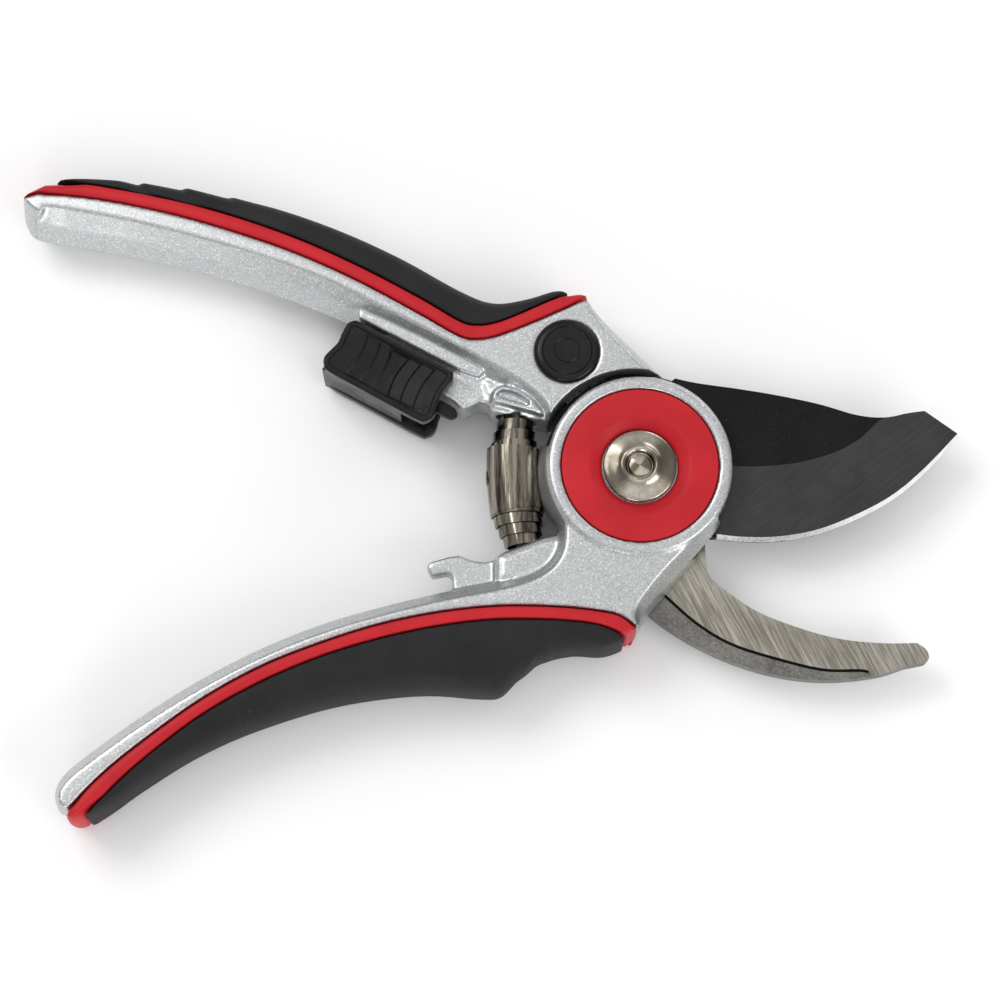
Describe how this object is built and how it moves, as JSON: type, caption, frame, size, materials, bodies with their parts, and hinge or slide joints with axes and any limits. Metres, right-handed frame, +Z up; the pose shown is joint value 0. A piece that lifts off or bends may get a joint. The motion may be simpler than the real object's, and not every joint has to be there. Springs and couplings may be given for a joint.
{
  "type": "bypass pruning shears",
  "caption": "Bypass pruning shears, open: crossed cast handles with over-moulded grips, curved cutting blade, hook counter blade, volute return spring and sliding lock.",
  "frame": {"origin": "on the pivot axis, at the flat end of the pivot bolt, level with the rear nut and hub ring, which is the face the shears lie on", "axes": "+X towards the tip of the cutting blade, +Y towards the handle on the spine side of the blade, +Z up along the pivot axis towards the bolt head"},
  "size_m": [0.2033, 0.1414, 0.0189],
  "materials": {
    "cast_aluminium": "silver metallic coat over a fine cast grain, bright on its rounded edges",
    "red_plastic": "satin moulded red plastic with a faint grain",
    "grip_rubber": "matt black soft grip, lightly textured",
    "coated_blade": "black low-friction coating with a bare ground cutting edge",
    "ground_steel": "ground steel with straight slanting grinding lines",
    "nickel": "bright warm nickel plate",
    "spring_nickel": "nickel-plated spring strip",
    "black_plastic": "glossy black moulded plastic",
    "bronze": "oiled bronze",
    "zinc_steel": "zinc-plated steel"
  },
  "bodies": {
    "upper": {"upper_handle": "cast_aluminium", "upper_grip_trim": "red_plastic", "upper_grip_pad": "grip_rubber", "counter_blade": "ground_steel", "counter_blade_screw": "zinc_steel", "counter_blade_screw_cap": "black_plastic", "pivot_bolt": "nickel", "pivot_nut": "nickel", "pivot_bush": "bronze", "front_washer": "zinc_steel", "rear_washer": "zinc_steel", "rear_hub_cap": "red_plastic", "volute_spring": "spring_nickel"},
    "lower": {"lower_handle": "cast_aluminium", "lower_grip_trim": "red_plastic", "lower_grip_pad": "grip_rubber", "cutting_blade": "coated_blade", "cutting_blade_screw": "zinc_steel", "cutting_blade_screw_cap": "black_plastic", "front_hub_cap": "red_plastic"},
    "slider": {"lock_slider": "black_plastic", "lock_slider_back": "black_plastic", "lock_detent": "black_plastic"}
  },
  "joints": [
    {"name": "handle_close", "type": "hinge", "parent": "upper", "child": "lower", "pos_m": [0, 0, 0.0092], "axis": [0, 0, -1], "range_deg": [0, 43.5], "stiffness_Nm_per_rad": 0.6, "springref_deg": -28.65, "deforming": ["volute_spring"]},
    {"name": "lock_slide", "type": "slide", "parent": "upper", "child": "slider", "axis": [0.8805, -0.4741, 0], "range_m": [0, 0.006]}
  ]
}
